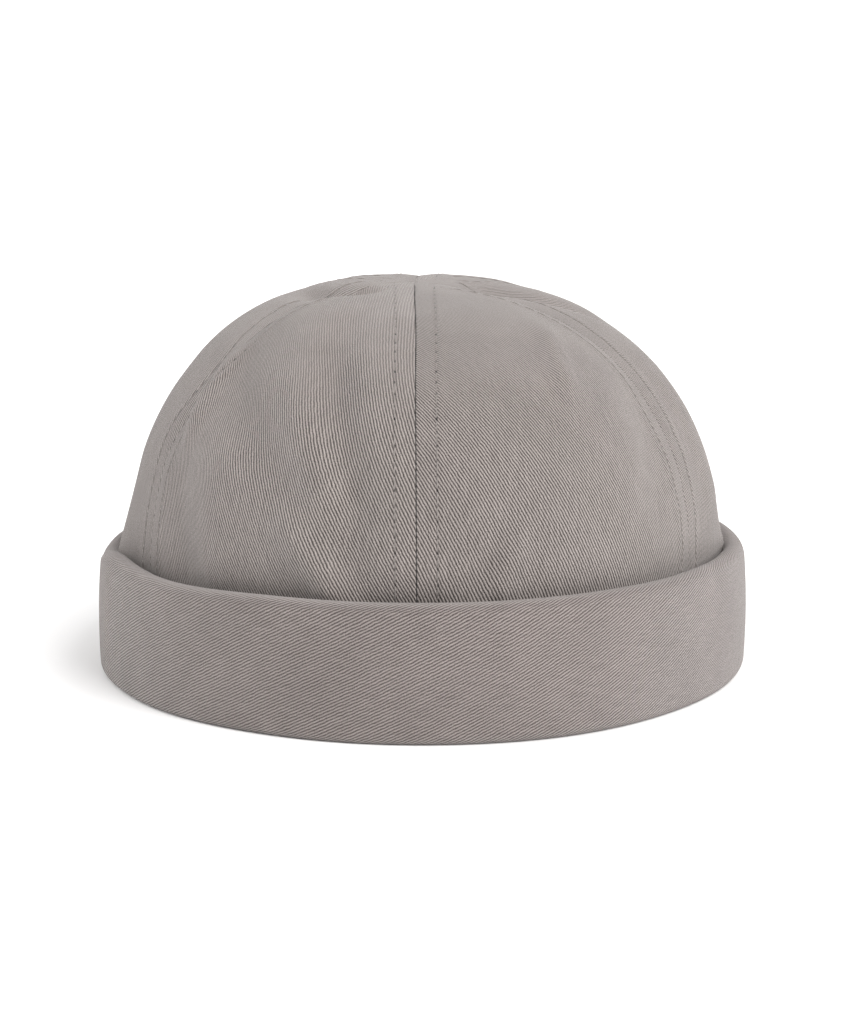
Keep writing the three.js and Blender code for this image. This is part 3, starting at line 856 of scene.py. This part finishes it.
def stitch_tree():
    """Geometry Nodes that lay a thread stitch on every point, along its way, standing on its out."""
    tree = bpy.data.node_groups.new("stitch_rows", "GeometryNodeTree")
    tree.interface.new_socket("Geometry", in_out="INPUT", socket_type="NodeSocketGeometry")
    for name in ("Length", "Thread", "Crown", "Sink"):
        tree.interface.new_socket(name, in_out="INPUT", socket_type="NodeSocketFloat")
    tree.interface.new_socket("Seed", in_out="INPUT", socket_type="NodeSocketInt")
    tree.interface.new_socket("Material", in_out="INPUT", socket_type="NodeSocketMaterial")
    tree.interface.new_socket("Geometry", in_out="OUTPUT", socket_type="NodeSocketGeometry")
    given, result = node(tree, "NodeGroupInput"), node(tree, "NodeGroupOutput")
    half = calc(tree, "MULTIPLY", given.outputs["Length"], 0.5)

    def point(x_share, height):
        made = node(tree, "ShaderNodeCombineXYZ")
        tree.links.new(calc(tree, "MULTIPLY", half, x_share), made.inputs[0])
        tree.links.new(height, made.inputs[2])
        return made.outputs[0]

    low = calc(tree, "MULTIPLY", given.outputs["Sink"], -1.0)
    high = given.outputs["Crown"]
    line = node(tree, "GeometryNodeCurvePrimitiveBezierSegment")
    line.inputs["Resolution"].default_value = STITCH_BENDS
    tree.links.new(point(-1, low), line.inputs["Start"])
    tree.links.new(point(-STITCH_SHOULDER, high), line.inputs["Start Handle"])
    tree.links.new(point(STITCH_SHOULDER, high), line.inputs["End Handle"])
    tree.links.new(point(1, low), line.inputs["End"])
    ring = node(tree, "GeometryNodeCurvePrimitiveCircle")
    ring.inputs["Resolution"].default_value = THREAD_SIDES
    tree.links.new(calc(tree, "MULTIPLY", given.outputs["Thread"], 0.5), ring.inputs["Radius"])
    tube = node(tree, "GeometryNodeCurveToMesh")
    tube.inputs["Fill Caps"].default_value = True
    tree.links.new(line.outputs[0], tube.inputs["Curve"])
    tree.links.new(ring.outputs[0], tube.inputs["Profile Curve"])

    def stored(name):
        made = node(tree, "GeometryNodeInputNamedAttribute", data_type="FLOAT_VECTOR")
        made.inputs["Name"].default_value = name
        return made.outputs["Attribute"]

    turn = node(tree, "FunctionNodeAxesToRotation", primary_axis="X", secondary_axis="Z")
    tree.links.new(stored("way"), turn.inputs["Primary Axis"])
    tree.links.new(stored("out"), turn.inputs["Secondary Axis"])
    size = node(tree, "FunctionNodeRandomValue", data_type="FLOAT")
    size.inputs[2].default_value = STITCH_SIZES[0]
    size.inputs[3].default_value = STITCH_SIZES[1]
    tree.links.new(given.outputs["Seed"], size.inputs["Seed"])
    lay = node(tree, "GeometryNodeInstanceOnPoints")
    tree.links.new(given.outputs["Geometry"], lay.inputs["Points"])
    tree.links.new(tube.outputs[0], lay.inputs["Instance"])
    tree.links.new(turn.outputs[0], lay.inputs["Rotation"])
    tree.links.new(size.outputs[1], lay.inputs["Scale"])
    real = node(tree, "GeometryNodeRealizeInstances")
    tree.links.new(lay.outputs[0], real.inputs[0])
    finish = node(tree, "GeometryNodeSetMaterial")
    tree.links.new(real.outputs[0], finish.inputs[0])
    tree.links.new(given.outputs["Material"], finish.inputs["Material"])
    smooth = node(tree, "GeometryNodeSetShadeSmooth")
    tree.links.new(finish.outputs[0], smooth.inputs[0])
    tree.links.new(smooth.outputs[0], result.inputs[0])
    return tree


def make_stitches(name, tree, rows, thread, inputs):
    """One plain mesh of stitches from the points, ways and outs of several rows."""
    places, ways, outs = (np.concatenate([row[k] for row in rows]) for k in range(3))
    mesh = bpy.data.meshes.new(name + "_points")
    mesh.from_pydata(places.tolist(), [], [])
    for key, values in (("way", ways), ("out", outs)):
        layer = mesh.attributes.new(key, "FLOAT_VECTOR", "POINT")
        layer.data.foreach_set("vector", values.astype(np.float32).ravel())
    carrier = bpy.data.objects.new(name + "_points", mesh)
    bpy.context.scene.collection.objects.link(carrier)
    modifier = carrier.modifiers.new("stitches", "NODES")
    modifier.node_group = tree
    given = [item for item in tree.interface.items_tree if item.in_out == "INPUT"]
    sockets = {item.name: item.identifier for item in given}
    for key, value in {**inputs, "Material": thread}.items():
        modifier[sockets[key]] = value
    bpy.context.view_layer.update()
    result = bpy.data.meshes.new_from_object(
        carrier.evaluated_get(bpy.context.evaluated_depsgraph_get())
    )
    bpy.data.objects.remove(carrier)
    for key in ("way", "out"):
        if key in result.attributes:
            result.attributes.remove(result.attributes[key])
    result.name = name
    if not result.materials:
        result.materials.append(thread)
    piece = bpy.data.objects.new(name, result)
    bpy.context.scene.collection.objects.link(piece)
    return piece


# Camera, as the photograph looks at the cap
CAMERA_PLACE = (1.1 * MM, -982.4 * MM, 226.7 * MM)
CAMERA_DOWN = 10.76  # degrees below level
CAMERA_LENS = 126.5

# Light
KEY_WAY = (0.64, -0.5, 0.66)  # from the cap towards the light
KEY_STRENGTH = 3.32
KEY_COLOUR = (1, 0.985, 0.975)
FILL_WAY = (-0.95, 0.25, 0.5)
FILL_STRENGTH = 1.9
FILL_COLOUR = (1, 0.99, 0.985)
BACK_WAY = (0.5, 0.8, 0.35)
BACK_STRENGTH = 0.9
BACK_COLOUR = (1, 1, 1)
LIGHT_SPREAD = 55  # degrees
WORLD_STRENGTH = 0.62
FLOOR_REACH = 30
FLOOR_GREY = 0.94


def make_camera():
    data = bpy.data.cameras.new("camera")
    data.lens = CAMERA_LENS
    data.sensor_width = 36
    data.clip_start, data.clip_end = 0.05, 100
    camera = bpy.data.objects.new("camera", data)
    camera.location = CAMERA_PLACE
    camera.rotation_euler = (math.radians(90 - CAMERA_DOWN), 0, 0)
    bpy.context.scene.collection.objects.link(camera)
    bpy.context.scene.camera = camera


def soft_sun(name, way, strength, colour):
    """A wide, far light that reaches all of the floor alike. Its way points from the cap to it."""
    data = bpy.data.lights.new(name, "SUN")
    data.angle = math.radians(LIGHT_SPREAD)
    data.energy = strength
    data.color = colour
    lamp = bpy.data.objects.new(name, data)
    lamp.rotation_euler = (-Vector(way)).to_track_quat("-Z", "Y").to_euler()
    bpy.context.scene.collection.objects.link(lamp)


def make_stage():
    mesh = bpy.data.meshes.new("floor")
    ways = [(-1, -1), (1, -1), (1, 1), (-1, 1)]
    corners = [(FLOOR_REACH * x, FLOOR_REACH * y, 0) for x, y in ways]
    mesh.from_pydata(corners, [], [(0, 1, 2, 3)])
    floor = bpy.data.objects.new("floor", mesh)
    bpy.context.scene.collection.objects.link(floor)
    material = bpy.data.materials.new("pale_floor")
    material.use_nodes = True
    shader = material.node_tree.nodes["Principled BSDF"]
    shader.inputs["Base Color"].default_value = (FLOOR_GREY, FLOOR_GREY, FLOOR_GREY, 1)
    shader.inputs["Roughness"].default_value = 0.9
    shader.inputs["Specular IOR Level"].default_value = 0.1
    mesh.materials.append(material)
    world = bpy.data.worlds.new("studio")
    world.use_nodes = True
    world.node_tree.nodes["Background"].inputs["Color"].default_value = (1, 1, 1, 1)
    world.node_tree.nodes["Background"].inputs["Strength"].default_value = WORLD_STRENGTH
    bpy.context.scene.world = world
    bpy.context.scene.view_settings.view_transform = "Standard"
    soft_sun("key_light", KEY_WAY, KEY_STRENGTH, KEY_COLOUR)
    soft_sun("fill_light", FILL_WAY, FILL_STRENGTH, FILL_COLOUR)
    soft_sun("back_light", BACK_WAY, BACK_STRENGTH, BACK_COLOUR)


make_camera()
make_stage()
twill_group()
crown_twill = twill_material("crown_twill", CROWN_VALLEY, CROWN_RIDGE, turned=False, seamed=True)
cuff_twill = twill_material("cuff_twill", CUFF_VALLEY, CUFF_RIDGE, turned=True, seamed=False)
thread = thread_material()

stitch_rows = []
for layer, panel in enumerate(PANELS):
    piece, grid = make_panel(panel, layer)
    piece.data.materials.append(crown_twill)
    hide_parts(panel["name"])
    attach(piece, "root")
    for side in (0, 1):
        for inside in (False, True):
            stitch_rows.append(stitch_points(grid, side, inside))

topstitching = make_stitches(
    "crown_topstitching",
    stitch_tree(),
    stitch_rows,
    thread,
    {
        "Length": STITCH_LENGTH,
        "Thread": THREAD,
        "Crown": STITCH_CROWN,
        "Sink": STITCH_ENDS,
        "Seed": STITCH_SEED,
    },
)
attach(topstitching, "root")

cuff = make_cuff()
cuff.data.materials.append(cuff_twill)
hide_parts("turned_up_cuff")
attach(cuff, "root")
